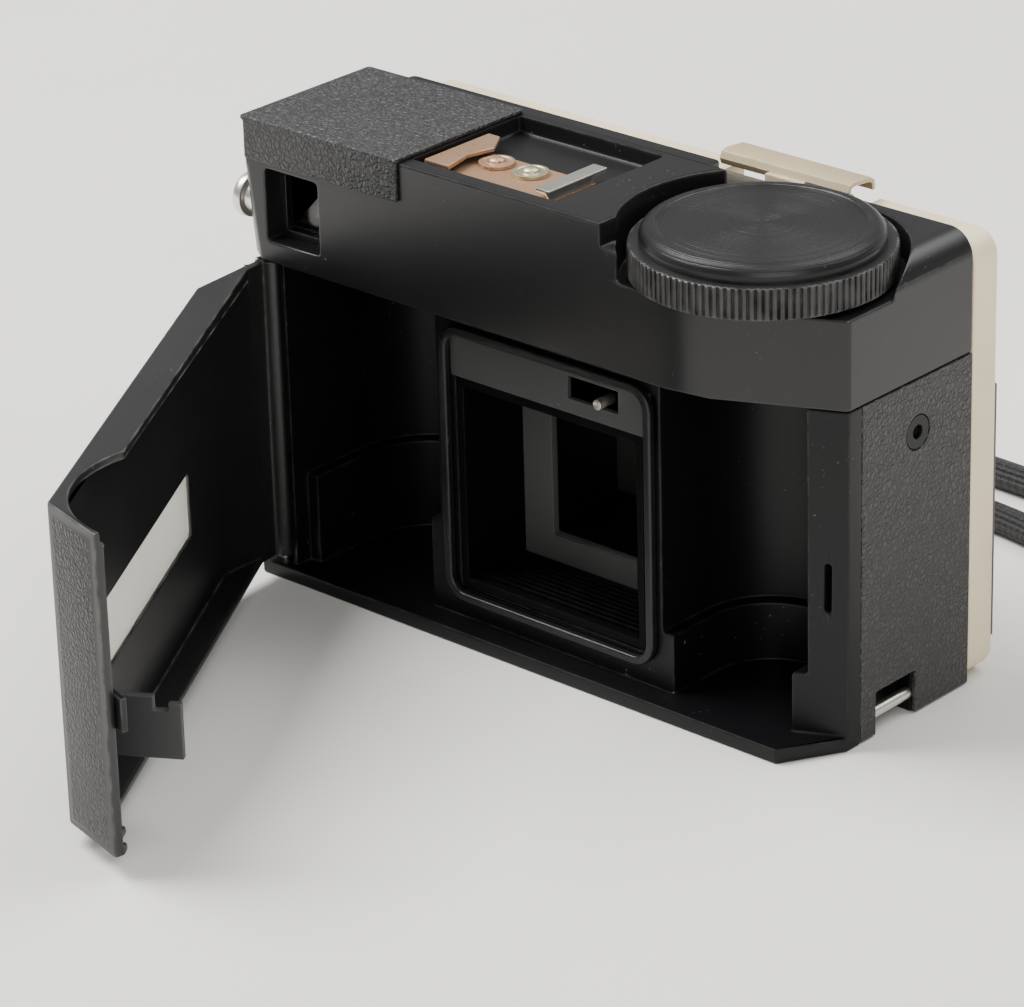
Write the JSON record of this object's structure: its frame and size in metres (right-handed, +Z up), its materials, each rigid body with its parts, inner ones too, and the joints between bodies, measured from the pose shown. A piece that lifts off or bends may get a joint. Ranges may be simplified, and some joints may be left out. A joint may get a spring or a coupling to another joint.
{
  "type": "cartridge camera",
  "caption": "Cartridge-film snapshot camera with its back door open, thumbwheel advance, accessory shoe and braided wrist strap.",
  "frame": {"origin": "middle of the body's base", "axes": "+Z up, +Y the way the lens looks, +X to the viewer's right"},
  "size_m": [0.1223, 0.1623, 0.0647],
  "materials": {
    "black_gloss": "moulded, worn",
    "black_satin": "satin",
    "grained_skin": "grained",
    "cream_paint": "satin",
    "mauve_trim": "satin",
    "clear": "polished",
    "bright_metal": "worn",
    "copper_metal": "tarnished",
    "braid": "braided"
  },
  "bodies": {
    "camera": {"body_shell": "black_satin", "top_cover": "black_gloss", "works_plate": "black_satin", "grain_panel": "grained_skin", "side_panel": "grained_skin", "side_screw": "bright_metal", "strap_bar": "bright_metal", "base_screws": "bright_metal", "front_plate": "cream_paint", "front_trim": "mauve_trim", "lens_barrel": "black_satin", "lens_ring": "cream_paint", "front_element": "clear", "lens_holder": "black_satin", "rear_element": "clear", "shutter_plate": "black_satin", "blade_pin": "bright_metal", "light_baffle": "black_satin", "baffle_plate": "black_satin", "gate_bezel": "black_satin", "gate_strip": "black_satin", "cartridge_clip": "bright_metal", "eyepiece_frame": "black_satin", "eyepiece_glass": "clear", "finder_glass": "clear", "finder_window": "clear", "shoe_plate": "copper_metal", "shoe_rail_left": "copper_metal", "shoe_rail_right": "bright_metal", "shoe_contacts": "copper_metal", "strap_stud": "black_satin", "strap_anchor": "black_satin", "hinge_pin": "bright_metal", "strap_cord": "braid"},
    "wheel": {"advance_wheel": "black_gloss", "wheel_cap": "black_gloss", "wheel_shaft": "bright_metal", "drive_fork": "black_satin"},
    "release": {"shutter_bar": "cream_paint"},
    "blade": {"shutter_blade": "black_satin"},
    "film_pin": {"sensing_pin": "bright_metal"},
    "door": {"back_door": "black_gloss", "door_window": "clear", "door_spring": "bright_metal", "door_hook": "bright_metal"}
  },
  "joints": [
    {"name": "door_swing", "type": "hinge", "parent": "camera", "child": "door", "pos_m": [-0.0444, -0.0138, 0.0235], "axis": [0, 0, -1], "range_deg": [-59.4, 45]},
    {"name": "wheel_turn", "type": "hinge", "parent": "camera", "child": "wheel", "pos_m": [0.029, -0.0029, 0.0595], "axis": [0, 0, 1], "continuous": true},
    {"name": "release_press", "type": "slide", "parent": "camera", "child": "release", "axis": [0, 0, -1], "range_m": [0, 0.0025], "stiffness_N_per_m": 400, "springref_m": -0.002},
    {"name": "blade_slide", "type": "slide", "parent": "camera", "child": "blade", "axis": [-1, 0, 0], "range_m": [0, 0.005]},
    {"name": "pin_slide", "type": "slide", "parent": "camera", "child": "film_pin", "axis": [-1, 0, 0], "range_m": [0, 0.005], "stiffness_N_per_m": 60, "springref_m": -0.002}
  ],
  "couplings": [
    {"joint": "blade_slide", "follows": "release_press", "ratio": 2}
  ]
}
